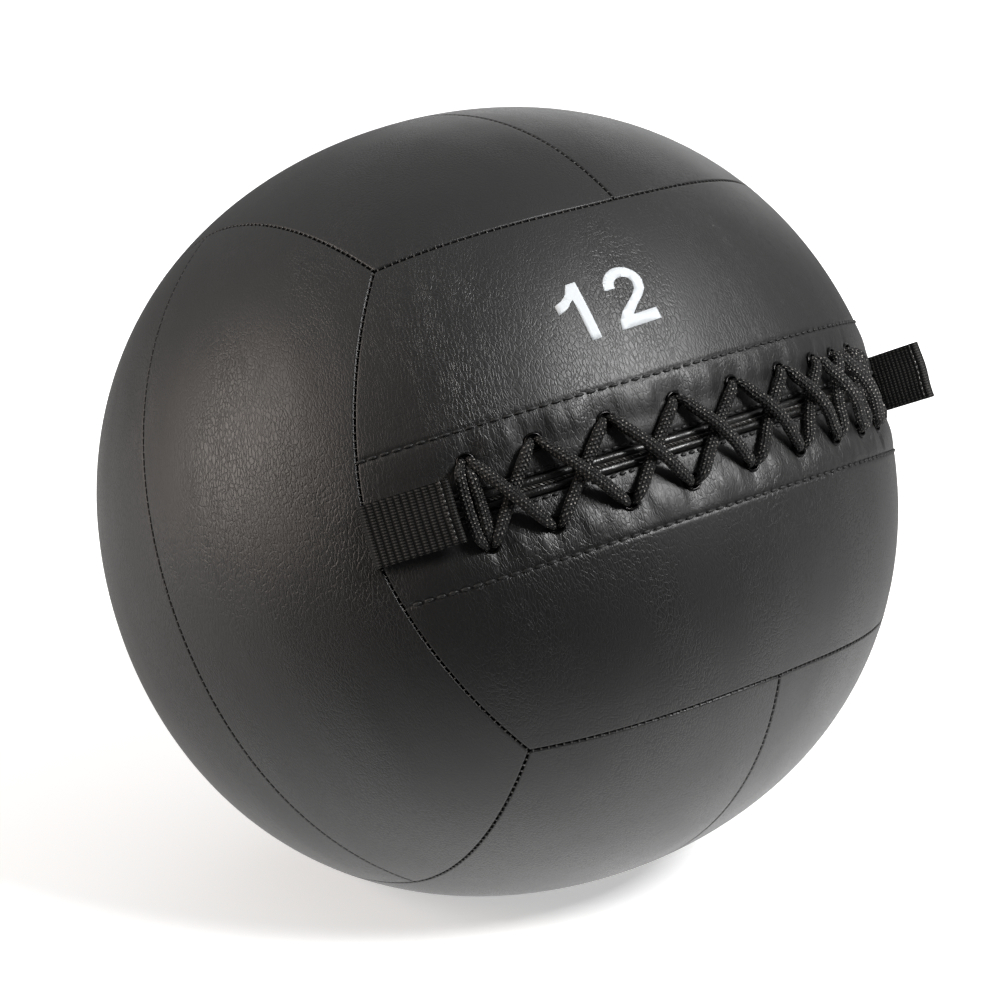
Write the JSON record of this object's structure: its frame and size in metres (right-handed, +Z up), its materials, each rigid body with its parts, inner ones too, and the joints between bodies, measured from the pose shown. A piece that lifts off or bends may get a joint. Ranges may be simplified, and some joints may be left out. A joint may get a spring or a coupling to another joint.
{
  "type": "wall ball",
  "caption": "Soft weighted wall ball with a sewn panel cover, a laced closure across the front and a webbing tab at each end of the lacing.",
  "frame": {"origin": "centre of the flat patch that the ball rests on, directly below its centre, on the floor", "axes": "+Z up, -Y towards the laced front face, which leans back, +X to the right of someone facing that face"},
  "size_m": [0.3429, 0.3473, 0.3379],
  "materials": {
    "cover_vinyl": "grained leather-look vinyl, soft sheen",
    "lip_vinyl": "smooth rolled vinyl, glossy",
    "eyelet_steel": "black lacquered steel",
    "braided_lace": "braided polyester cord",
    "webbing": "ribbed nylon webbing",
    "liner_cloth": "woven polyester",
    "fibre_padding": "loose polyester fibre",
    "core_cloth": "woven cotton",
    "iron_sand": "loose iron grit",
    "tie_cord": "twisted twine"
  },
  "bodies": {
    "ball": {"front_upper_panel": "cover_vinyl", "front_lower_panel": "cover_vinyl", "back_upper_panel": "cover_vinyl", "back_lower_panel": "cover_vinyl", "top_left_panel": "cover_vinyl", "top_right_panel": "cover_vinyl", "bottom_left_panel": "cover_vinyl", "bottom_right_panel": "cover_vinyl", "left_front_panel": "cover_vinyl", "left_back_panel": "cover_vinyl", "right_front_panel": "cover_vinyl", "right_back_panel": "cover_vinyl", "upper_facing": "lip_vinyl", "lower_facing": "lip_vinyl", "upper_eyelet_1": "eyelet_steel", "upper_eyelet_2": "eyelet_steel", "upper_eyelet_3": "eyelet_steel", "upper_eyelet_4": "eyelet_steel", "upper_eyelet_5": "eyelet_steel", "upper_eyelet_6": "eyelet_steel", "upper_eyelet_7": "eyelet_steel", "upper_eyelet_8": "eyelet_steel", "upper_eyelet_9": "eyelet_steel", "lower_eyelet_1": "eyelet_steel", "lower_eyelet_2": "eyelet_steel", "lower_eyelet_3": "eyelet_steel", "lower_eyelet_4": "eyelet_steel", "lower_eyelet_5": "eyelet_steel", "lower_eyelet_6": "eyelet_steel", "lower_eyelet_7": "eyelet_steel", "lower_eyelet_8": "eyelet_steel", "lower_eyelet_9": "eyelet_steel", "lace": "braided_lace", "lace_knot": "braided_lace", "tongue": "liner_cloth", "liner_bag": "liner_cloth", "left_padding": "fibre_padding", "right_padding": "fibre_padding", "core_bag": "core_cloth", "iron_sand": "iron_sand", "core_tie": "tie_cord"},
    "left_tab": {"left_webbing_tab": "webbing"},
    "right_tab": {"right_webbing_tab": "webbing"}
  },
  "joints": [
    {"name": "left_tab_bend", "type": "hinge", "parent": "ball", "child": "left_tab", "pos_m": [-0.14438, -0.0991, 0.19209], "axis": [0.0767, -0.3719, -0.9251], "range_deg": [0, 150], "stiffness_Nm_per_rad": 0.02},
    {"name": "right_tab_bend", "type": "hinge", "parent": "ball", "child": "right_tab", "pos_m": [0.14438, -0.09081, 0.2127], "axis": [-0.0767, 0.3719, 0.9251], "range_deg": [-23, 136], "stiffness_Nm_per_rad": 0.02}
  ]
}
